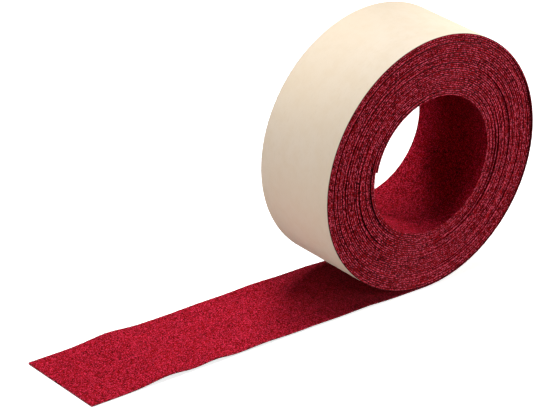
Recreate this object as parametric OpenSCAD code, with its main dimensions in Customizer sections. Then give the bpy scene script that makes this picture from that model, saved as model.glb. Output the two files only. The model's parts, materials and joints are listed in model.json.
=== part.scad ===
// Grip tape roll: a faced, self-adhesive strip on a release liner, wound face
// inward on itself with no core, its free tail leaving the foot of the roll.
//
// Frame: the origin is the centre of the bore, midway across the tape. +Y runs
// along the bore, -X along the tail, +Z is up.

/* [Tape] */
// Width of the slit tape
tape_width = 25; // [15:1:40]
// Thickness of the suede facing that the hand holds
facing_thickness = 0.36; // [0.2:0.02:0.8]
// Thickness of the adhesive coat under the facing
adhesive_thickness = 0.04; // [0.02:0.01:0.1]
// Thickness of the release liner under the adhesive
liner_thickness = 0.08; // [0.04:0.01:0.2]

/* [Roll] */
// Radius of the bore left by the winding mandrel
bore_radius = 18; // [12:0.5:40]
// Turns of tape on the roll
turns = 30; // [4:1:40]
// Air left between one turn and the next
winding_slack = 0.04; // [0.02:0.01:0.1]

/* [Tail] */
// Length that lies flat before the first bending line
lead_length = 12; // [10:0.5:14]
// Length of tape between two bending lines
flex_length = 22.5; // [16:0.5:30]
// Bending lines along the tail
flex_count = 4; // [2:1:6]
// Gap left at a bending line, so the tape can bend either way
bend_gap = 0.24; // [0.2:0.02:0.5]
// Length of the liner's end that peels away
peel_length = 11.25; // [5:0.25:14]

/* [Hidden] */
$fn = 96;

tape_thickness = facing_thickness + adhesive_thickness + liner_thickness;
pitch = tape_thickness + winding_slack;
outer_radius = bore_radius + (turns - 1) * pitch + tape_thickness;
table_z = -outer_radius;
tail_length = lead_length + flex_count * flex_length;

// Each layer's distance from the tape's face, inner side first.
facing_depth = 0;
adhesive_depth = facing_thickness;
liner_depth = facing_thickness + adhesive_thickness;

// One turn, in degrees clockwise from the inner end at nine o'clock. The turn
// is a true circle, then climbs one pitch onto itself along two arcs. Their
// corners stand at 3-4-5 angles, so every centre below is a short decimal.
climb_arc = acos(0.8);
circle_arc = 360 - 2 * climb_arc;
last_arc = 270;
flat_arc_centre = [0.7 * pitch, 2.4 * pitch];
flat_arc_growth = 2.5 * pitch;
tight_arc_centre = [-2.5 * pitch, 0];
tight_arc_growth = -1.5 * pitch;
// Each arc runs this many degrees into the one before it, so that they join.
arc_lap = 0.001;

facing_colour = "crimson";
adhesive_colour = "gainsboro";
liner_colour = "wheat";

// Stands what is drawn in the XY plane upright, with its own Z along -Y.
module upright() {
    rotate([90, 0, 0]) children();
}

// Sections of one layer of several turns, side by side in the plane.
module turn_sections(first, last, depth, thickness) {
    for (k = [first : last])
        translate([bore_radius + k * pitch + depth, -tape_width / 2])
            square([thickness, tape_width]);
}

// Sweeps sections clockwise about a centre, from one angle past nine o'clock.
module sweep(centre, from, arc) {
    translate([centre.x, centre.y, 0])
        rotate([0, 0, 180 - from - arc])
            rotate_extrude(angle = arc + arc_lap) children();
}

// One layer of all the wound turns, with the flat lead that leaves the roll.
module wound_layer(depth, thickness) {
    upright() {
        sweep([0, 0], 0, circle_arc)
            turn_sections(0, turns - 2, depth, thickness);
        sweep(flat_arc_centre, circle_arc, climb_arc)
            translate([flat_arc_growth, 0])
                turn_sections(0, turns - 2, depth, thickness);
        sweep(tight_arc_centre, circle_arc + climb_arc, climb_arc)
            translate([tight_arc_growth, 0])
                turn_sections(0, turns - 2, depth, thickness);
        sweep([0, 0], 0, last_arc)
            turn_sections(turns - 1, turns - 1, depth, thickness);
    }
    flat_layer(0, lead_length - bend_gap / 2, depth, thickness);
}

// One layer of a straight stretch on the table, between two distances from
// the foot of the roll.
module flat_layer(from, to, depth, thickness) {
    translate([-to, -tape_width / 2, table_z + tape_thickness - depth - thickness])
        cube([to - from, tape_width, thickness]);
}

// Distances from the foot of the roll to the two ends of a flex length. The
// last one is the end of the tape.
function flex_start(i) = lead_length + (i - 1) * flex_length + bend_gap / 2;
function flex_end(i) =
    i == flex_count ? tail_length : lead_length + i * flex_length - bend_gap / 2;

module wound_facing() {
    color(facing_colour) wound_layer(facing_depth, facing_thickness);
}

module wound_adhesive() {
    color(adhesive_colour) wound_layer(adhesive_depth, adhesive_thickness);
}

module wound_liner() {
    color(liner_colour) wound_layer(liner_depth, liner_thickness);
}

module tail_facing(i) {
    color(facing_colour)
        flat_layer(flex_start(i), flex_end(i), facing_depth, facing_thickness);
}

module tail_adhesive(i) {
    color(adhesive_colour)
        flat_layer(flex_start(i), flex_end(i), adhesive_depth, adhesive_thickness);
}

// The last length's liner stops where the end that peels begins.
module tail_liner(i) {
    end = i == flex_count ? tail_length - peel_length : flex_end(i);
    color(liner_colour)
        flat_layer(flex_start(i), end, liner_depth, liner_thickness);
}

module liner_peel_end() {
    color(liner_colour)
        flat_layer(tail_length - peel_length, tail_length, liner_depth, liner_thickness);
}

wound_facing();
wound_adhesive();
wound_liner();
for (i = [1 : flex_count]) {
    tail_facing(i);
    tail_adhesive(i);
    tail_liner(i);
}
liner_peel_end();
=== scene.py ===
"""A roll of grip tape: the wound roll, its flat free tail and the liner end that peels.

Everything is in metres, in the part's own frame. The origin is the centre of the
bore, midway across the tape. +Y runs along the bore, -X along the tail, +Z is up.
"""

import json
import logging
import math
from dataclasses import dataclass, field, replace
from enum import Enum

import bpy
import numpy as np
from mathutils import Matrix, Vector, noise


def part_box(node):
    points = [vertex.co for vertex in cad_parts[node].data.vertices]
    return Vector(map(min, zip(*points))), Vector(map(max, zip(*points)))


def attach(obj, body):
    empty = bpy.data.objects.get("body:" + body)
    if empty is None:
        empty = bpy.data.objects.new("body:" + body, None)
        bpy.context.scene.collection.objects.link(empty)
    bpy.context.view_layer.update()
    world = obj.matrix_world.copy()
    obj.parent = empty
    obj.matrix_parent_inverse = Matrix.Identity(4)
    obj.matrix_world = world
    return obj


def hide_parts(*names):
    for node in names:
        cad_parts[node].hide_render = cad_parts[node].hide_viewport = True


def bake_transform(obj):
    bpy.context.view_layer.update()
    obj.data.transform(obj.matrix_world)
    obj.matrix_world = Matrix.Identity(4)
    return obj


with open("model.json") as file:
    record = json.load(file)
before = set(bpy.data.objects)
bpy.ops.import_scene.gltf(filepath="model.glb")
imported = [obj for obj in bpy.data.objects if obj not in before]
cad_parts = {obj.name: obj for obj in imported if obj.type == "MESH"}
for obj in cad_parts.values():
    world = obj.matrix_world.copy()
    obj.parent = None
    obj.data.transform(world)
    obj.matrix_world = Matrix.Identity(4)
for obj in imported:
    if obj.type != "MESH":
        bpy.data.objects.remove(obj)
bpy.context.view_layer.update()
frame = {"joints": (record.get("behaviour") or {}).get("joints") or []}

log = logging.getLogger("grip_tape_roll")

MM = 0.001
TAPE = "tape"  # the attribute that keeps each point's place on the flat tape

Triple = tuple[float, float, float]
Colour = Triple
Socket = bpy.types.NodeSocket


class Layer(Enum):
    """The three layers of the tape, by their material slots in the record."""

    FACING = "facing"
    ADHESIVE = "adhesive"
    LINER = "liner"


class Part(Enum):
    """The parts of a strip that have their own finish, each with its material slot."""

    FACE = 0
    EDGE = 1


class Hold(Enum):
    """How a strip of tape is held."""

    WOUND = "folded"
    FLAT = "laid"


def box_of(node: str) -> tuple[Vector, Vector]:
    """Read a CAD node's box at rest.

    Args:
        node: The node's name.

    Returns:
        Its lowest and its highest corner.
    """
    low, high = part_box(node)
    return Vector(low), Vector(high)


def hinge_of(joint: str) -> Vector:
    """Find a hinge's pivot.

    Args:
        joint: The joint's name.

    Returns:
        The pivot's place.
    """
    return Vector(next(j["pos_m"] for j in frame["joints"] if j["name"] == joint))


@dataclass(frozen=True)
class Ply:
    """One layer's place in the thickness of the tape.

    Attributes:
        depth: Distance from the tape's face to this layer's inner side.
        thickness: Its thickness.
        recess: How far its cut edges stand back from the tape's edges.
        ease: How far its cut edges are rounded.
    """

    depth: float
    thickness: float
    recess: float
    ease: float


@dataclass(frozen=True)
class Wander:
    """A smooth, uneven line along the tape: a few waves added together.

    Attributes:
        reach: The most that it strays either way.
        waves: Each wave's length and its start, in metres and in turns.
    """

    reach: float
    waves: tuple[tuple[float, float], ...]

    def at(self, run: np.ndarray) -> np.ndarray:
        """Give the wander at distances along the tape.

        Args:
            run: Distances along the tape.

        Returns:
            The offset at each.
        """
        total = sum(
            np.sin(2 * np.pi * (run / length + start)) for length, start in self.waves
        )
        return self.reach * total / len(self.waves)


@dataclass(frozen=True)
class Hump:
    """A low hump across the limp tail, in millimetres.

    Attributes:
        middle: Distance of its top from where the tail leaves the roll.
        reach: How far it spreads either way.
        near: Its height at the tape's near edge.
        far: Its height at the tape's far edge.
    """

    middle: float
    reach: float
    near: float
    far: float

    def at(self, along: np.ndarray, nearness: np.ndarray) -> np.ndarray:
        """Give the hump's height at places on the tail.

        Args:
            along: Distances from where the tail leaves the roll.
            nearness: Places across it, from 0 at the far edge to 1 at the near one.

        Returns:
            The height at each.
        """
        top = nearness * self.near + (1 - nearness) * self.far
        return top * np.exp(-(((along - self.middle) / self.reach) ** 2))


@dataclass(frozen=True)
class Tape:
    """Sizes of the tape and of the roll. Those not given are read from the CAD nodes.

    Attributes:
        bore_radius: Radius of the first turn's inner side.
        turns: Number of turns.
        last_arc: How much of the last turn is wound, in degrees.
        width: Width of the slit tape.
        table: Height of the table that the roll stands on.
        tail_end: Place of the tail's cut end along X.
        facing: Thickness of the facing.
        adhesive: Thickness of the adhesive.
        liner: Thickness of the liner.
    """

    bore_radius: float = 18.0 * MM
    turns: int = 30
    last_arc: float = 270.0
    width: float = field(init=False)
    table: float = field(init=False)
    tail_end: float = field(init=False)
    facing: float = field(init=False)
    adhesive: float = field(init=False)
    liner: float = field(init=False)

    def __post_init__(self) -> None:
        """Measure the tape on the CAD nodes."""
        heights = [box_of(f"tail_{layer.value}_1") for layer in Layer]
        low, high = box_of("wound_liner")
        end, _ = box_of("tail_facing_4")
        sizes = {
            "width": high.y - low.y,
            "table": low.z,
            "tail_end": end.x,
            "facing": heights[0][1].z - heights[0][0].z,
            "adhesive": heights[1][1].z - heights[1][0].z,
            "liner": heights[2][1].z - heights[2][0].z,
        }
        for name, value in sizes.items():
            object.__setattr__(self, name, value)

    @property
    def thickness(self) -> float:
        """Give the thickness of the three layers together."""
        return self.facing + self.adhesive + self.liner

    @property
    def pitch(self) -> float:
        """Give the growth in radius from one turn to the next."""
        return (-self.table - self.thickness - self.bore_radius) / (self.turns - 1)

    def ply(self, layer: Layer) -> Ply:
        """Describe a layer's place in the tape's thickness."""
        if layer is Layer.FACING:
            return Ply(0.0, self.facing, recess=0.0, ease=0.09 * MM)
        if layer is Layer.ADHESIVE:
            return Ply(self.facing, self.adhesive, recess=0.24 * MM, ease=0.008 * MM)
        under = self.facing + self.adhesive
        return Ply(under, self.liner, recess=0.17 * MM, ease=0.015 * MM)


class Route:
    """The way the tape runs: round the mandrel turn on turn, then flat on the table.

    Each turn is a true circle that climbs one pitch at its end along two more arcs, a
    flat one and a tight one. Angles are counted clockwise from nine o'clock, where the
    tape starts.

    Attributes:
        CLIMB: How far round each of the two arcs goes, in degrees.
        FLAT_CENTRE: Centre of the flat arc, in pitches.
        FLAT_GROWTH: How much larger its radius is than the turn's, in pitches.
        TIGHT_CENTRE: Centre of the tight arc, in pitches.
        TIGHT_GROWTH: How much larger its radius is than the turn's, in pitches.
        SLACK_FADE: Length of tape over which the slack dies out before the tail.
        SWAY_FADE: Length of tail over which the sway dies out.
        FLAT_LEAD: Length of tail that lies flat at the roll, in millimetres.
        RISE: Length over which the humps come up to their height, in millimetres.
        SWAY: How the tape strays sideways.
        PACK: How loosely the turns lie.
        HUMPS: The humps of the tail.
    """

    CLIMB = math.degrees(math.acos(0.8))
    FLAT_CENTRE = (0.7, 2.4)
    FLAT_GROWTH = 2.5
    TIGHT_CENTRE = (-2.5, 0.0)
    TIGHT_GROWTH = -1.5
    SLACK_FADE = 20 * MM
    SWAY_FADE = 60 * MM
    FLAT_LEAD = 5.0
    RISE = 12.0
    SWAY = Wander(
        0.36 * MM,
        ((0.093, 0.1), (0.151, 0.37), (0.262, 0.72), (0.437, 0.05), (1.13, 0.6)),
    )
    PACK = Wander(0.03 * MM, ((0.071, 0.3), (0.119, 0.8), (0.197, 0.15), (0.53, 0.45)))
    HUMPS = (
        Hump(18.0, 9.0, near=0.35, far=0.3),
        Hump(35.0, 8.0, near=0.3, far=0.45),
        Hump(51.0, 8.0, near=0.45, far=0.25),
        Hump(66.0, 5.0, near=0.75, far=0.05),
        Hump(79.5, 6.5, near=0.95, far=0.8),
    )

    def __init__(self, tape: Tape) -> None:
        """Lay out the arcs.

        Args:
            tape: The tape's sizes.
        """
        self.tape = tape
        pitch, first = tape.pitch, 360 - 2 * self.CLIMB
        flat_centre = tuple(c * pitch for c in self.FLAT_CENTRE)
        tight_centre = tuple(c * pitch for c in self.TIGHT_CENTRE)
        arcs = []
        for turn in range(tape.turns):
            radius = tape.bore_radius + turn * pitch
            if turn == tape.turns - 1:
                arcs.append((0.0, tape.last_arc, (0.0, 0.0), radius))
                break
            arcs.append((0.0, first, (0.0, 0.0), radius))
            flat_radius = radius + self.FLAT_GROWTH * pitch
            tight_radius = radius + self.TIGHT_GROWTH * pitch
            arcs.append((first, self.CLIMB, flat_centre, flat_radius))
            arcs.append((first + self.CLIMB, self.CLIMB, tight_centre, tight_radius))
        self.starts = np.array([a[0] for a in arcs])
        self.centres = np.array([a[2] for a in arcs])
        self.radii = np.array([a[3] for a in arcs])
        lengths = np.radians([a[1] for a in arcs]) * self.radii
        self.runs = np.concatenate([[0.0], np.cumsum(lengths)])

    @property
    def wound(self) -> float:
        """Give the length of tape on the roll, up to where the tail leaves it."""
        return float(self.runs[-1])

    def run_at(self, x: float) -> float:
        """Give the distance along the tape to a place on the tail.

        Args:
            x: The place, which is negative on the tail.

        Returns:
            The distance from the tape's inner end.
        """
        return self.wound - x

    def ripple(self, x: np.ndarray, y: np.ndarray) -> np.ndarray:
        """Give how far the limp tail stands off the table.

        Args:
            x: Places along the tail.
            y: Places across it.

        Returns:
            The height of each point above its flat place.
        """
        along = -x / MM
        nearness = np.clip(0.5 + y / self.tape.width, 0, 1)
        lift = sum(hump.at(along, nearness) for hump in self.HUMPS)
        risen = np.clip((along - self.FLAT_LEAD) / self.RISE, 0, 1)
        return risen**2 * lift * MM

    def place(self, flat: np.ndarray) -> np.ndarray:
        """Move points of the flat tape to where the wound tape holds them.

        Args:
            flat: Rows of run, place across and depth.

        Returns:
            Rows of x, y and z.
        """
        run, across, depth = flat.T
        last = len(self.radii) - 1
        arc = np.clip(np.searchsorted(self.runs, run, side="right") - 1, 0, last)
        angle = np.radians(self.starts[arc]) + (run - self.runs[arc]) / self.radii[arc]
        on_roll = run <= self.wound
        loose = np.clip((self.wound - run) / self.SLACK_FADE, 0, 1)
        slack = np.where(on_roll, self.PACK.at(run) * loose, 0)
        reach = self.radii[arc] + depth + slack * depth / self.tape.thickness
        x = self.centres[arc, 0] - np.cos(angle) * reach
        z = self.centres[arc, 1] + np.sin(angle) * reach
        tail_x = self.wound - run
        lift = self.ripple(tail_x, across)
        tail_z = self.tape.table + self.tape.thickness - depth + lift
        swaying = np.clip(1 + (self.wound - run) / self.SWAY_FADE, 0, 1)
        y = -across + self.SWAY.at(run) * swaying
        x, z = np.where(on_roll, x, tail_x), np.where(on_roll, z, tail_z)
        return np.stack([x, y, z], axis=1)


class Bench:
    """Small helpers that stand in for the hands at the bench."""

    @staticmethod
    def clear() -> None:
        """Let go of everything that is selected."""
        if bpy.context.object and bpy.context.object.mode != "OBJECT":
            bpy.ops.object.mode_set(mode="OBJECT")
        bpy.ops.object.select_all(action="DESELECT")

    @staticmethod
    def take(piece: bpy.types.Object) -> None:
        """Select one piece alone.

        Args:
            piece: The piece to work on.
        """
        Bench.clear()
        piece.select_set(True)
        bpy.context.view_layer.objects.active = piece

    @staticmethod
    def points(piece: bpy.types.Object) -> np.ndarray:
        """Read the places of a piece's points, one row for each."""
        rows = np.empty(3 * len(piece.data.vertices))
        piece.data.vertices.foreach_get("co", rows)
        return rows.reshape(-1, 3)

    @staticmethod
    def move_points(piece: bpy.types.Object, places: np.ndarray) -> None:
        """Put a piece's points in new places.

        Args:
            piece: The piece.
            places: One row for each point.
        """
        piece.data.vertices.foreach_set("co", places.ravel())
        piece.data.update()

    @staticmethod
    def apply(piece: bpy.types.Object, kind: str, **settings: object) -> None:
        """Add a modifier and apply it.

        Args:
            piece: The piece.
            kind: The modifier's type.
            settings: Its settings.
        """
        Bench.take(piece)
        modifier = piece.modifiers.new(kind.title(), kind)
        for name, value in settings.items():
            setattr(modifier, name, value)
        bpy.ops.object.modifier_apply(modifier=modifier.name)


@dataclass
class Strip:
    """A length of one layer of the tape: cut flat, thickened, eased and laid in place.

    Attributes:
        name: The piece's name.
        ply: The layer and its place in the thickness.
        start: Distance along the tape to its first end.
        end: Distance along the tape to its other end.
        step: Spacing of the points along it.
        columns: Number of rows of faces across it.
        nap: Height of the fibres that stand up on its face.
        fray: How far its cut edges stray.
        free_end: Whether its other end is the cut end of the tape.
        SAME: The most by which two places that are the same may differ.
        NAP_PACE: Changes in the nap's height along a millimetre.
        FRAY_PACE: Changes in the edge's stray along a millimetre.
        FRAY_DEPTH: Width of the band beside a cut edge that strays with it.
    """

    SAME = 1e-6
    NAP_PACE = 1.9
    FRAY_PACE = 1.3
    FRAY_DEPTH = 0.3 * MM

    name: str
    ply: Ply
    start: float
    end: float
    step: float
    columns: int = 1
    nap: float = 0.0
    fray: float = 0.0
    free_end: bool = False

    def cut(self, width: float) -> bpy.types.Object:
        """Cut the flat strip out of the sheet.

        Args:
            width: Width of the slit tape.

        Returns:
            The flat strip, one sheet thin, its run along X.
        """
        Bench.clear()
        cells = max(2, round((self.end - self.start) / self.step))
        bpy.ops.mesh.primitive_grid_add(
            x_subdivisions=cells, y_subdivisions=self.columns, size=1
        )
        piece = bpy.context.object
        piece.name = piece.data.name = self.name
        for _ in Part:
            piece.data.materials.append(None)
        places = Bench.points(piece)
        places[:, 0] = self.start + (places[:, 0] + 0.5) * (self.end - self.start)
        places[:, 1] *= width - 2 * self.ply.recess
        Bench.move_points(piece, places)
        return piece

    def thicken(self, piece: bpy.types.Object) -> None:
        """Give the flat strip its thickness, below its face.

        Args:
            piece: The flat strip.
        """
        Bench.apply(
            piece,
            "SOLIDIFY",
            thickness=self.ply.thickness,
            offset=-1.0,
            material_offset_rim=Part.EDGE.value,
        )

    def ease_edges(self, piece: bpy.types.Object) -> None:
        """Round the slit edges, and the end where the tape was cut.

        Args:
            piece: The thick flat strip.
        """
        Bench.take(piece)
        places = Bench.points(piece)
        half = np.abs(places[:, 1]).max()
        at_side = np.abs(np.abs(places[:, 1]) - half) < self.SAME
        at_end = self.free_end & (np.abs(places[:, 0] - self.end) < self.SAME)
        pairs = np.empty(2 * len(piece.data.edges), dtype=int)
        piece.data.edges.foreach_get("vertices", pairs)
        first, second = pairs.reshape(-1, 2).T
        _, apart_across, apart_deep = np.abs(places[first] - places[second]).T
        level = apart_deep < self.SAME
        along = at_side[first] & at_side[second] & (apart_across < self.SAME)
        chosen = level & (along | (at_end[first] & at_end[second]))
        for group in (piece.data.vertices, piece.data.edges, piece.data.polygons):
            group.foreach_set("select", np.zeros(len(group), dtype=bool))
        piece.data.edges.foreach_set("select", chosen)
        bpy.context.tool_settings.mesh_select_mode = (False, True, False)
        bpy.ops.object.mode_set(mode="EDIT")
        bpy.ops.mesh.bevel(
            offset=self.ply.ease, segments=2, affect="EDGES", material=Part.EDGE.value
        )
        bpy.ops.object.mode_set(mode="OBJECT")

    def roughen(self, flat: np.ndarray) -> np.ndarray:
        """Raise the nap of the face and stray the cut edges a little.

        Args:
            flat: Rows of run, place across and depth.

        Returns:
            The same rows, roughened.
        """
        if not (self.nap or self.fray):
            return flat
        rough = flat.copy()
        half = np.abs(flat[:, 1]).max()
        face = self.ply.ease * 1.2
        for row, (run, across, depth) in enumerate(flat):
            if depth < face:
                spot = (run / MM * self.NAP_PACE, across / MM * self.NAP_PACE, 0.0)
                rough[row, 2] -= self.nap * noise.noise(spot)
            if half - abs(across) < self.FRAY_DEPTH:
                spot = (run / MM * self.FRAY_PACE, math.copysign(7.0, across), 2.0)
                rough[row, 1] += self.fray * noise.noise(spot)
        return rough

    def make(self, route: Route) -> bpy.types.Object:
        """Make the strip and lay it where the tape holds it.

        Args:
            route: The way the tape runs.

        Returns:
            The finished piece.
        """
        piece = self.cut(route.tape.width)
        self.thicken(piece)
        self.ease_edges(piece)
        flat = Bench.points(piece)
        flat[:, 2] *= -1
        flat = self.roughen(flat)
        flat[:, 2] += self.ply.depth
        mark = piece.data.attributes.new(TAPE, "FLOAT_VECTOR", "POINT")
        mark.data.foreach_set("vector", flat.astype(np.float32).ravel())
        Bench.move_points(piece, route.place(flat))
        Bench.take(piece)
        bpy.ops.object.shade_smooth_by_angle(angle=math.radians(50))
        return piece


class Recipe:
    """A material's node tree while it is being put together.

    The ranges below say where, on the flat tape, a shade starts and where it is full.

    Attributes:
        EDGE_SHADE_BAND: Places across it between which the inner turns get painted
            shade along their edges.
        EDGE_SHADE_END: Length of tape over which the painted edge shade of the inner
            turns stops.
        BRIM: Places across it between which the painted edge shade of every turn
            starts.
        BRIM_SHARE: How much of that painted shade shows.
        NIP_START: Run between which the painted shade beside the nip starts.
        NIP_END: Run between which the painted shade beside the nip stops.
        INNER_CREASE: Depth between which the painted shade in the crease on the bore's
            side stops.
        OUTER_CREASE: Depth between which the painted shade in the crease on the liner's
            side starts.
        STRETCH: Length of a stretch in which the painted crease shade is stronger or
            weaker.
        SHALLOW: The least of the painted crease shade that shows, as a share of the
            most.
    """

    EDGE_SHADE_BAND = (10.8 * MM, 12.1 * MM)
    EDGE_SHADE_END = 2 * MM
    BRIM = (12.2 * MM, 12.33 * MM)
    BRIM_SHARE = 0.7
    NIP_START = (4.7, 4.71)
    NIP_END = (4.78, 4.82)
    INNER_CREASE = (-0.02 * MM, 0.07 * MM)
    OUTER_CREASE = (0.24 * MM, 0.32 * MM)
    STRETCH = 30 * MM
    SHALLOW = 0.72

    def __init__(self, name: str) -> None:
        """Start a material with an empty shader.

        Args:
            name: The material's name.
        """
        self.material = bpy.data.materials.new(name)
        self.material.use_nodes = True
        self.tree = self.material.node_tree
        self.shader = self.tree.nodes["Principled BSDF"]

    def node(self, kind: str, **settings: object) -> bpy.types.Node:
        """Add a node.

        Args:
            kind: The node's type.
            settings: Its properties.

        Returns:
            The node.
        """
        made = self.tree.nodes.new(kind)
        for name, value in settings.items():
            setattr(made, name, value)
        return made

    def link(self, source: Socket, target: Socket) -> None:
        """Join two sockets."""
        self.tree.links.new(source, target)

    def place_on_tape(self) -> Socket:
        """Give each point's place on the flat tape."""
        return self.node("ShaderNodeAttribute", attribute_name=TAPE).outputs["Vector"]

    def place_on_object(self) -> Socket:
        """Give each point's place in the part's frame."""
        return self.node("ShaderNodeTexCoord").outputs["Object"]

    def split(self, place: Socket) -> tuple[Socket, Socket, Socket]:
        """Part a place into its run, its place across and its depth."""
        parts = self.node("ShaderNodeSeparateXYZ")
        self.link(place, parts.inputs["Vector"])
        return tuple(parts.outputs[axis] for axis in "XYZ")

    def sum_of(self, operation: str, *values: Socket) -> Socket:
        """Work out a sum, clamped from 0 to 1.

        Args:
            operation: The math node's operation.
            values: Its values in order.

        Returns:
            The result.
        """
        made = self.node("ShaderNodeMath", operation=operation, use_clamp=True)
        for value, socket in zip(values, made.inputs):
            self.link(value, socket)
        return made.outputs["Value"]

    def stretched(self, place: Socket, scale: Triple, shift: float = 0.0) -> Socket:
        """Scale and shift a place, for a grain that is longer one way.

        Args:
            place: The place.
            scale: Scale along each axis.
            shift: Shift along every axis.

        Returns:
            The new place.
        """
        mapping = self.node("ShaderNodeMapping")
        mapping.inputs["Scale"].default_value = scale
        mapping.inputs["Location"].default_value = (shift, shift, shift)
        self.link(place, mapping.inputs["Vector"])
        return mapping.outputs["Vector"]

    def grain(
        self, place: Socket, size: float, detail: float = 2.0, roughness: float = 0.5
    ) -> Socket:
        """Make a noise of a given grain.

        Args:
            place: Where to read it.
            size: Size of a grain, in metres.
            detail: How many finer noises are added.
            roughness: How strong the finer ones are.

        Returns:
            The noise, about 0.5 on average.
        """
        made = self.node("ShaderNodeTexNoise")
        made.inputs["Scale"].default_value = 1 / size
        made.inputs["Detail"].default_value = detail
        made.inputs["Roughness"].default_value = roughness
        self.link(place, made.inputs["Vector"])
        return made.outputs["Fac"]

    def speckle(self, place: Socket, size: float) -> Socket:
        """Give each tuft of fibre a chance value of its own.

        Args:
            place: Where to read it.
            size: Size of a tuft, in metres.

        Returns:
            An even chance from 0 to 1, the same all over a tuft.
        """
        made = self.node("ShaderNodeTexVoronoi")
        made.inputs["Scale"].default_value = 1 / size
        parts = self.node("ShaderNodeSeparateColor")
        self.link(place, made.inputs["Vector"])
        self.link(made.outputs["Color"], parts.inputs["Color"])
        return parts.outputs["Red"]

    def between(
        self,
        value: Socket,
        low: float,
        high: float,
        out_low: float = 0.0,
        out_high: float = 1.0,
    ) -> Socket:
        """Map a value smoothly from one range to another, and clamp it.

        Args:
            value: The value.
            low: Start of its range.
            high: End of its range.
            out_low: What the start becomes.
            out_high: What the end becomes.

        Returns:
            The mapped value.
        """
        made = self.node("ShaderNodeMapRange", interpolation_type="SMOOTHSTEP")
        names = ("From Min", "From Max", "To Min", "To Max")
        for name, number in zip(names, (low, high, out_low, out_high)):
            made.inputs[name].default_value = number
        self.link(value, made.inputs["Value"])
        return made.outputs["Result"]

    def mixed(
        self, share: Socket, first: Socket | Colour, second: Socket | Colour
    ) -> Socket:
        """Mix two colours.

        Args:
            share: How much of the second.
            first: A colour or a socket.
            second: A colour or a socket.

        Returns:
            The mixed colour.
        """
        made = self.node("ShaderNodeMix", data_type="RGBA")
        self.link(share, made.inputs["Factor"])
        for socket, colour in ((made.inputs[6], first), (made.inputs[7], second)):
            if isinstance(colour, tuple):
                socket.default_value = (*colour, 1.0)
            else:
                self.link(colour, socket)
        return made.outputs[2]

    def layered(self, colour: Socket | Colour, *coats: tuple[Socket, Colour]) -> Socket:
        """Lay coats over a colour, one after the other.

        Args:
            colour: The colour below.
            coats: Each coat's share and colour.

        Returns:
            The colour on top.
        """
        for share, coat in coats:
            colour = self.mixed(share, colour, coat)
        return colour

    def shade_edges(self, colour: Socket, place: Socket, edge_shade: Colour, end: float) -> Socket:
        """Darken the edges of the wound turns with painted shade.

        Args:
            colour: The clean colour.
            place: Each point's place on the flat tape.
            edge_shade: The colour of the painted shade.
            end: Distance along the tape at which the painted shade of the inner turns
                stops.

        Returns:
            The colour with the painted shade.
        """
        run, across, _ = self.split(place)
        # Painted shade: a dark band along the cut edges of the inner turns and a thin
        # dark line along every turn's edge stand for the shade between the turns.
        inner = self.between(run, end - self.EDGE_SHADE_END, end, 1.0, 0.0)
        outward = self.sum_of("ABSOLUTE", across)
        brim = self.between(outward, *self.BRIM, 0.0, self.BRIM_SHARE)
        band_shade = self.between(outward, *self.EDGE_SHADE_BAND)
        share = self.sum_of("MULTIPLY_ADD", inner, band_shade, brim)
        return self.mixed(share, colour, edge_shade)

    def nip_shade(self, place: Socket) -> Socket:
        """Give the painted shade beside the nip: most where the tail leaves the roll.

        Args:
            place: Each point's place on the flat tape.

        Returns:
            A value from 0 to 1.
        """
        run, _, _ = self.split(place)
        falling = self.between(run, *self.NIP_END, 1.0, 0.0)
        return self.sum_of("MULTIPLY", falling, self.between(run, *self.NIP_START))

    def crease_shade(self, place: Socket, share: float) -> Socket:
        """Give the painted shade on a cut edge where it lies in the crease beside the
        next turn.

        Args:
            place: Each point's place on the flat tape.
            share: The most of the painted crease shade that shows.

        Returns:
            A share from 0 to 1.
        """
        _, _, depth = self.split(place)
        inner = self.between(depth, *self.INNER_CREASE, 1.0, 0.0)
        crease = self.sum_of("MAXIMUM", inner, self.between(depth, *self.OUTER_CREASE))
        along = self.stretched(place, (1.0, 0.0, 0.0))
        stretches = self.grain(along, self.STRETCH, 2.0, 0.6)
        shown = self.between(stretches, 0.4, 0.6, self.SHALLOW * share, share)
        return self.sum_of("MULTIPLY", crease, shown)

    def relief(self, height: Socket, depth: float, strength: float) -> None:
        """Raise the surface by a height, in its shading alone.

        Args:
            height: The height, from 0 to 1.
            depth: What a height of 1 stands for.
            strength: How much of it to show.
        """
        bump = self.node("ShaderNodeBump")
        bump.inputs["Distance"].default_value = depth
        bump.inputs["Strength"].default_value = strength
        self.link(height, bump.inputs["Height"])
        self.link(bump.outputs["Normal"], self.shader.inputs["Normal"])

    def finish(
        self,
        colour: Socket,
        roughness: Socket | float,
        **even: float | tuple[float, ...],
    ) -> bpy.types.Material:
        """Join the colour and the roughness to the shader.

        Args:
            colour: The base colour.
            roughness: A number or a socket.
            even: Sockets that are the same all over, with _ for each space.

        Returns:
            The material.
        """
        self.link(colour, self.shader.inputs["Base Color"])
        if isinstance(roughness, float):
            self.shader.inputs["Roughness"].default_value = roughness
        else:
            self.link(roughness, self.shader.inputs["Roughness"])
        for name, value in even.items():
            self.shader.inputs[name.replace("_", " ")].default_value = value
        return self.material


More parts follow.
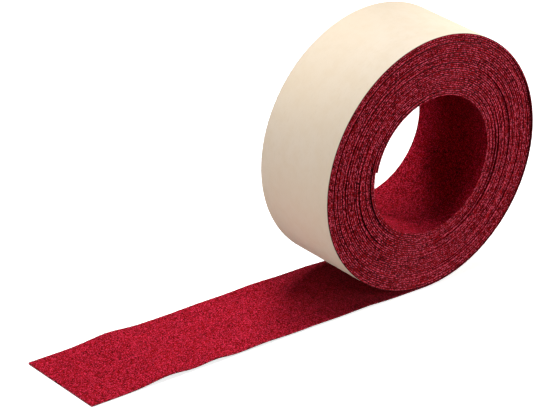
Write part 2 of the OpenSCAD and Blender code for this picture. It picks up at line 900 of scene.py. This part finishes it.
@dataclass(frozen=True)
class NappedCloth:
    """The red facing: a short, dense nap with pale and dark fibres in it.

    Attributes:
        name: The material's name.
        ground: Colour of the dyed cloth.
        shade: Colour down between the fibres, also used for the painted shade beside
            the nip and in the creases.
        fleck: Colour of the pale fibre ends.
        flecks: Chance value above which a fibre end is pale.
        pits: Chance value below which a tuft lies in shade.
        relief: Depth of the nap.
        tuft: Size of a tuft.
        crease_shade: How dark the painted shade is on a cut edge where it meets the
            next turn.
        BRUSH: Size of the soft marks that brushing leaves.
        DYE: Size of the clouds in the dye.
        TONE: How much lighter and darker than the ground the brush marks are.
        NIP_SHADE: How dark the painted shade beside the nip is.
    """

    name: str
    ground: Colour
    shade: Colour
    fleck: Colour
    flecks: float
    pits: float
    relief: float
    tuft: float
    crease_shade: float = 0.0

    BRUSH = 2.4 * MM
    DYE = 14 * MM
    TONE = 0.12
    NIP_SHADE = 0.6

    def make(self) -> bpy.types.Material:
        """Make the material."""
        recipe = Recipe(self.name)
        place = recipe.place_on_tape()
        nap = recipe.grain(place, 2.0 * self.tuft, 3.0, 0.65)
        tufts = recipe.speckle(place, 1.2 * self.tuft)
        ends = recipe.stretched(place, (0.8, 1.0, 1.0), 0.013)
        specks = recipe.speckle(ends, self.tuft)
        nip_shade = recipe.nip_shade(place)
        streaks = recipe.stretched(place, (0.25, 1.0, 1.0), 0.4)
        brushed = recipe.grain(streaks, self.BRUSH, 3.0, 0.55)
        dye = recipe.grain(place, self.DYE, 2.0, 0.5)
        lighter = tuple(c * (1 + self.TONE) for c in self.ground)
        darker = tuple(c * (1 - self.TONE) for c in self.ground)
        pale = (self.flecks, self.flecks + 0.1, 0.0, 0.85)
        cloth = recipe.layered(
            darker,
            (recipe.between(brushed, 0.35, 0.65), lighter),
            (recipe.between(dye, 0.35, 0.65, 0.0, 0.35), self.ground),
            (recipe.between(tufts, 0.6 * self.pits, self.pits, 0.95, 0.0), self.shade),
            (recipe.between(nap, 0.36, 0.5, 0.5, 0.0), self.shade),
            (recipe.between(specks, *pale), self.fleck),
            # Painted shade: the nap is darkened where the tail leaves the roll, for the
            # shadow under the roll.
            (recipe.between(nip_shade, 0.0, 1.0, 0.0, self.NIP_SHADE), self.shade),
        )
        # Painted shade: the cut edges are darkened in the creases between the turns.
        if self.crease_shade > 0:
            cloth = recipe.layered(cloth, (recipe.crease_shade(place, self.crease_shade), self.shade))
        recipe.relief(nap, self.relief, 0.8)
        rough = recipe.between(nap, 0.3, 0.7, 0.98, 0.82)
        return recipe.finish(
            cloth,
            rough,
            Specular_IOR_Level=0.05,
            Sheen_Weight=0.02,
            Sheen_Roughness=0.4,
            Sheen_Tint=(1.0, 0.3, 0.4, 1.0),
        )


@dataclass(frozen=True)
class ReleasePaper:
    """The liner: a smooth, silicone-coated cream paper.

    Attributes:
        name: The material's name.
        paper: Its colour.
        cloud: Its colour where the pulp lies thicker.
        roughness: How matt its coat is.
        edge_shade: Colour of the painted shade along the edges of the wound turns.
        shaded_run: Distance along the tape up to which its edges carry the painted
            shade of the inner turns.
        shaded_run: Distance along the tape up to which its edges are dusty.
        PULP: Size of the clouds in the pulp.
        FIBRE: Size of a fibre in the paper.
        BROAD: Size of the broad, faint stains.
    """

    name: str
    paper: Colour
    cloud: Colour
    roughness: float
    # This colour is painted shade along the edges of the wound turns.
    edge_shade: Colour = (0.08, 0.005, 0.009)
    shaded_run: float = 4.56

    PULP = 3.2 * MM
    FIBRE = 0.5 * MM
    BROAD = 22 * MM

    def make(self) -> bpy.types.Material:
        """Make the material."""
        recipe = Recipe(self.name)
        place = recipe.place_on_tape()
        pulp = recipe.grain(place, self.PULP, 4.0, 0.6)
        lengthwise = recipe.stretched(place, (0.35, 1.0, 1.0), 0.2)
        fibre = recipe.grain(lengthwise, self.FIBRE, 2.0, 0.5)
        broad = recipe.grain(place, self.BROAD, 1.0, 0.5)
        paper = recipe.layered(
            self.paper,
            (recipe.between(pulp, 0.35, 0.7, 0.0, 0.55), self.cloud),
            (recipe.between(broad, 0.35, 0.65, 0.0, 0.4), self.cloud),
            (
                recipe.between(fibre, 0.55, 0.75, 0.0, 0.12),
                tuple(0.72 * c for c in self.cloud),
            ),
        )
        paper = recipe.shade_edges(paper, place, self.edge_shade, self.shaded_run)
        recipe.relief(fibre, 0.02 * MM, 0.25)
        limits = (self.roughness - 0.05, self.roughness + 0.07)
        rough = recipe.between(pulp, 0.3, 0.7, *limits)
        return recipe.finish(
            paper, rough, Specular_IOR_Level=0.25, Coat_Weight=0.04, Coat_Roughness=0.4
        )


@dataclass(frozen=True)
class TackyCoat:
    """The adhesive: a pale, glossy rubber coat with a fine drag in it.

    Attributes:
        name: The material's name.
        coat: Its colour.
        thin: Its colour where the coat is thin and the cloth shows.
        edge_shade: Colour of the painted shade along its edges.
        shaded_run: Distance along the tape up to which its edges carry the painted
            shade of the inner turns.
        DRAG: Size of the marks that spreading the coat leaves.
        SPOT: Size of the thin spots.
    """

    name: str
    coat: Colour
    thin: Colour
    # This colour is painted shade along the edges of the wound turns.
    edge_shade: Colour = (0.05, 0.003, 0.006)
    shaded_run: float = 10.0

    DRAG = 0.9 * MM
    SPOT = 1.6 * MM

    def make(self) -> bpy.types.Material:
        """Make the material."""
        recipe = Recipe(self.name)
        place = recipe.place_on_tape()
        streaks = recipe.stretched(place, (0.08, 1.0, 1.0))
        drag = recipe.grain(streaks, self.DRAG, 3.0, 0.6)
        spots = recipe.grain(place, self.SPOT, 3.0, 0.6)
        coat = recipe.layered(
            self.coat,
            (recipe.between(drag, 0.4, 0.68, 0.0, 0.6), self.thin),
            (recipe.between(spots, 0.55, 0.75, 0.0, 0.35), self.thin),
        )
        coat = recipe.shade_edges(coat, place, self.edge_shade, self.shaded_run)
        recipe.relief(drag, 0.03 * MM, 0.5)
        rough = recipe.between(spots, 0.3, 0.7, 0.18, 0.36)
        return recipe.finish(coat, rough, Specular_IOR_Level=0.55)


@dataclass(frozen=True)
class Finishes:
    """Every finish on the roll: each layer's face, and its cut edge."""

    facing: NappedCloth = NappedCloth(
        "red_nap",
        ground=(0.35, 0.0016, 0.0055),
        shade=(0.045, 0.001, 0.002),
        fleck=(0.84, 0.03, 0.09),
        flecks=0.7,
        pits=0.46,
        relief=0.1 * MM,
        tuft=0.15 * MM,
    )
    facing_edge: NappedCloth = NappedCloth(
        "red_nap_cut_edge",
        ground=(0.45, 0.005, 0.011),
        shade=(0.018, 0.001, 0.002),
        fleck=(1.0, 0.11, 0.185),
        flecks=0.68,
        pits=0.44,
        relief=0.11 * MM,
        tuft=0.2 * MM,
        # Full painted shade in the creases between the turns.
        crease_shade=1.0,
    )
    liner: ReleasePaper = ReleasePaper(
        "cream_release_paper", (0.89, 0.765, 0.6), (0.85, 0.705, 0.515), roughness=0.62
    )
    # Painted shade: the liner's cut edge is coloured dark red-brown for the shade that
    # falls on it between the turns and under the nap.
    liner_edge: ReleasePaper = ReleasePaper(
        "release_paper_cut_edge", (0.2, 0.05, 0.045), (0.12, 0.02, 0.022), roughness=0.8
    )
    adhesive: TackyCoat = TackyCoat("tacky_coat", (0.66, 0.56, 0.46), (0.5, 0.2, 0.19))
    # Painted shade: the adhesive's cut edge is coloured dark red-brown for the shade
    # that falls on it between the turns and under the nap.
    adhesive_edge: TackyCoat = TackyCoat(
        "tacky_coat_cut_edge", (0.16, 0.04, 0.04), (0.1, 0.015, 0.02)
    )

    def make(self) -> dict[Layer, tuple[bpy.types.Material, bpy.types.Material]]:
        """Make each layer's face material and edge material."""
        return {
            Layer.FACING: (self.facing.make(), self.facing_edge.make()),
            Layer.ADHESIVE: (self.adhesive.make(), self.adhesive_edge.make()),
            Layer.LINER: (self.liner.make(), self.liner_edge.make()),
        }


class Dresser:
    """Puts the finishes on strips and hides the CAD nodes that each one stands for."""

    def __init__(self, finishes: Finishes) -> None:
        """Make the materials once.

        Args:
            finishes: The finishes to use.
        """
        self.materials = finishes.make()

    def dress(self, piece: bpy.types.Object, layer: Layer, *nodes: str) -> None:
        """Give a strip its two materials and hide the CAD nodes that it stands for.

        Args:
            piece: The strip.
            layer: Its layer.
            nodes: The CAD nodes that it stands for.
        """
        for part in Part:
            piece.data.materials[part.value] = self.materials[layer][part.value]
        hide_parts(*nodes)


@dataclass
class WoundRoll:
    """The wound part of the tape, with the first of the flat lead.

    Attributes:
        route: The way the tape runs.
        lead_stop: Where on the tail the wound strips stop.
        inner_end: How far past nine o'clock the inner end is trimmed.
        loft: How far the nap swells into the slack between the turns.
        fray: How far the cloth's cut edges stray.
        cloth_step: Spacing of the points along the cloth.
        film_step: Spacing of the points along the liner and the adhesive.
    """

    route: Route
    lead_stop: float = -4 * MM
    inner_end: float = 2.6 * MM
    loft: float = 0.065 * MM
    fray: float = 0.08 * MM
    cloth_step: float = 0.62 * MM
    film_step: float = 1.6 * MM

    def build(self, dresser: Dresser) -> None:
        """Wind the three layers.

        Args:
            dresser: Puts on the finishes.
        """
        end = self.route.run_at(self.lead_stop)
        for layer in Layer:
            ply = self.route.tape.ply(layer)
            step, fray = self.film_step, 0.0
            if layer is Layer.FACING:
                thickness = ply.thickness + self.loft
                ply = replace(ply, depth=-self.loft, thickness=thickness)
                step, fray = self.cloth_step, self.fray
            name = f"wound_{layer.value}_strip"
            strip = Strip(name, ply, self.inner_end, end, step, fray=fray)
            piece = strip.make(self.route)
            dresser.dress(piece, layer, f"wound_{layer.value}")
            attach(piece, "roll")
            log.info("%s: %d faces", name, len(piece.data.polygons))


@dataclass
class Tail:
    """The free tail: a chain of lengths, each of which holds one of the tail's hinges.

    Attributes:
        route: The way the tape runs.
        start: Where the wound strips stop.
        lengths: Number of lengths with a hinge.
        reach: Half the stretch of tape that one bend takes; not used.
        peel_reach: The stretch that the liner's end bends over; not used.
        peel_lead: How far the liner's end reaches back past its peel line.
        rough: How high the nap stands and how far the cut edges stray.
        cloth_step: Spacing of the points along the cloth.
        cloth_columns: Rows of faces across the cloth.
        film_step: Spacing of the points along the liner and the adhesive.
        film_columns: Rows of faces across them.
    """

    route: Route
    start: float
    lengths: int = 4
    reach: float = 4.5 * MM
    peel_reach: float = 6 * MM
    peel_lead: float = 4 * MM
    rough: float = 0.07 * MM
    cloth_step: float = 0.4 * MM
    cloth_columns: int = 60
    film_step: float = 1.0 * MM
    film_columns: int = 12

    def cuts(self) -> list[float]:
        """List the places where one length stops and the next starts."""
        hinges = [hinge_of(f"tail_bend_{i + 1}").x for i in range(self.lengths)]
        middles = [(a + b) / 2 for a, b in zip(hinges, hinges[1:])]
        return [self.start, *middles, self.route.tape.tail_end]

    def lay(
        self,
        dresser: Dresser,
        layer: Layer,
        name: str,
        node: str,
        ends: tuple[float, float],
        free: bool,
    ) -> bpy.types.Object:
        """Lay one strip on the table.

        Args:
            dresser: Puts on the finishes.
            layer: Its layer.
            name: The piece's name.
            node: The CAD node that it stands for.
            ends: Where it starts and stops.
            free: Whether it ends at the tape's cut end.

        Returns:
            The piece.
        """
        facing = layer is Layer.FACING
        strip = Strip(
            name,
            self.route.tape.ply(layer),
            self.route.run_at(ends[0]),
            self.route.run_at(ends[1]),
            step=self.cloth_step if facing else self.film_step,
            columns=self.cloth_columns if facing else self.film_columns,
            nap=self.rough if facing else 0.0,
            fray=self.rough if facing else 0.0,
            free_end=free,
        )
        piece = strip.make(self.route)
        dresser.dress(piece, layer, node)
        log.info("%s: %d faces", name, len(piece.data.polygons))
        return piece

    def bend(self, piece: bpy.types.Object) -> None:
        """Bake a strip's transform into its mesh.

        Args:
            piece: The strip.
        """
        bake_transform(piece)

    def build(self, dresser: Dresser) -> None:
        """Lay every strip of the tail.

        Args:
            dresser: Puts on the finishes.
        """
        cuts = self.cuts()
        peel = hinge_of("liner_peel")
        peel_start = peel.x + self.peel_lead
        for number, ends in enumerate(zip(cuts, cuts[1:]), start=1):
            for layer in Layer:
                stretch, free = ends, number == self.lengths
                if free and layer is Layer.LINER:
                    stretch, free = (ends[0], peel_start), False
                name = f"tail_{layer.value}_strip_{number}"
                node = f"tail_{layer.value}_{number}"
                piece = self.lay(dresser, layer, name, node, stretch, free)
                self.bend(piece)
        stretch = (peel_start, self.route.tape.tail_end)
        names = ("liner_peel_strip", "liner_peel_end")
        end = self.lay(dresser, Layer.LINER, *names, stretch, True)
        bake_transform(end)


@dataclass(frozen=True)
class SoftLight:
    """A large soft lamp.

    Attributes:
        name: The lamp's name.
        place: Where it hangs.
        size: Its width.
        power: Its power, in watts.
    """

    name: str
    place: Triple
    size: float
    power: float

    def hang(self, target: Vector) -> None:
        """Hang the lamp and aim it.

        Args:
            target: What it points at.
        """
        Bench.clear()
        bpy.ops.object.light_add(type="AREA", location=self.place)
        lamp = bpy.context.object
        lamp.name = self.name
        lamp.data.shape = "DISK"
        lamp.data.size = self.size
        lamp.data.energy = self.power
        aim = target - Vector(self.place)
        lamp.rotation_euler = aim.to_track_quat("-Z", "Y").to_euler()


@dataclass(frozen=True)
class Studio:
    """The table, the lamps and the camera.

    Attributes:
        lamps: The lamps.
        sky: Colour and strength of the even glow from all round.
        wall: Colour of the wall that the camera sees behind the table.
        floor_size: Width of the floor.
        floor_gap: How far the floor lies under the roll, so that they don't touch.
        floor_paint: The two greys of the floor.
        floor_glow: Strength of the floor's own light.
        camera_place: Where the camera stands.
        azimuth: Its direction round the roll, in degrees.
        elevation: How high it looks down from, in degrees.
        roll: How far it leans, in degrees.
        lens: Its focal length, in millimetres.
        sensor: The width of its sensor, in millimetres.
        near: The nearest that it sees.
    """

    lamps: tuple[SoftLight, ...] = (
        SoftLight("top_lamp", (0.1, 0.16, 1.1), 0.8, 7.3),
        SoftLight("back_lamp", (0.3, 0.56, 0.9), 0.4, 6.4),
        SoftLight("left_lamp", (-1.1, 0.12, 0.08), 0.5, 5.4),
        SoftLight("low_lamp", (-1.0, 0.0, 0.0), 0.5, 3.3),
        SoftLight("front_lamp", (0.68, -0.62, 0.1), 0.2, 8.6),
    )
    sky: Colour = (0.055, 0.05, 0.06)
    wall: Colour = (0.9, 0.9, 0.9)
    floor_size: float = 8.0
    floor_gap: float = 0.02 * MM
    floor_paint: tuple[Colour, Colour] = ((0.93, 0.93, 0.93), (0.95, 0.95, 0.95))
    floor_glow: float = 0.7
    camera_place: Triple = (-0.4577, -0.4877, 0.3054)
    azimuth: float = -40.755
    elevation: float = 25.861
    roll: float = 2.474
    lens: float = 192.4
    sensor: float = 36.0
    near: float = 0.01

    def lay_floor(self, height: float) -> None:
        """Lay the pale floor.

        Args:
            height: The height that the roll stands at.
        """
        Bench.clear()
        place = (0, 0, height - self.floor_gap)
        bpy.ops.mesh.primitive_plane_add(size=self.floor_size, location=place)
        floor = bpy.context.object
        floor.name = "pale_floor"
        recipe = Recipe("pale_floor_paint")
        cloud = recipe.grain(recipe.place_on_object(), 0.3, 2.0)
        paint = recipe.mixed(recipe.between(cloud, 0.3, 0.7), *self.floor_paint)
        finish = recipe.finish(
            paint,
            0.7,
            Specular_IOR_Level=0.2,
            Emission_Strength=self.floor_glow,
            Emission_Color=(1.0, 1.0, 1.0, 1.0),
        )
        floor.data.materials.append(finish)
        floor.visible_diffuse = False
        floor.visible_glossy = False

    def light(self) -> None:
        """Hang the lamps and set the sky's even glow."""
        for lamp in self.lamps:
            lamp.hang(Vector((0, 0, 0)))
        world = bpy.data.worlds.new("studio_glow")
        world.use_nodes = True
        nodes, links = world.node_tree.nodes, world.node_tree.links
        glow = nodes["Background"]
        glow.inputs["Color"].default_value = (*self.sky, 1.0)
        wall = nodes.new("ShaderNodeBackground")
        wall.inputs["Color"].default_value = (*self.wall, 1.0)
        seen = nodes.new("ShaderNodeLightPath")
        shown = nodes.new("ShaderNodeMixShader")
        links.new(seen.outputs["Is Camera Ray"], shown.inputs["Fac"])
        links.new(glow.outputs["Background"], shown.inputs[1])
        links.new(wall.outputs["Background"], shown.inputs[2])
        links.new(shown.outputs["Shader"], nodes["World Output"].inputs["Surface"])
        bpy.context.scene.world = world
        bpy.context.scene.view_settings.view_transform = "Standard"

    def stand_camera(self) -> None:
        """Stand the camera at its viewpoint."""
        angles = (self.azimuth, self.elevation, self.roll)
        around, up, lean = (math.radians(angle) for angle in angles)
        level = math.cos(up)
        back = Vector(
            (math.sin(around) * level, -math.cos(around) * level, math.sin(up))
        )
        right = Vector((0, 0, 1)).cross(back).normalized()
        above = back.cross(right)
        right, above = (
            math.cos(lean) * right + math.sin(lean) * above,
            math.cos(lean) * above - math.sin(lean) * right,
        )
        Bench.clear()
        bpy.ops.object.camera_add()
        camera = bpy.context.object
        camera.name = "camera"
        turn = Matrix((right, above, back)).transposed().to_4x4()
        camera.matrix_world = Matrix.Translation(self.camera_place) @ turn
        camera.data.lens = self.lens
        camera.data.sensor_width = self.sensor
        camera.data.clip_start = self.near
        bpy.context.scene.camera = camera


def main() -> None:
    """Build the roll, the tail and the studio in order."""
    logging.basicConfig(level=logging.INFO, format="%(name)s: %(message)s")
    tape = Tape()
    route = Route(tape)
    log.info("tape on the roll: %.3f m, tail: %.3f m", route.wound, -tape.tail_end)
    studio = Studio()
    studio.stand_camera()
    dresser = Dresser(Finishes())
    roll = WoundRoll(route)
    roll.build(dresser)
    Tail(route, roll.lead_stop).build(dresser)
    studio.lay_floor(tape.table)
    studio.light()


if __name__ == "__main__":
    main()
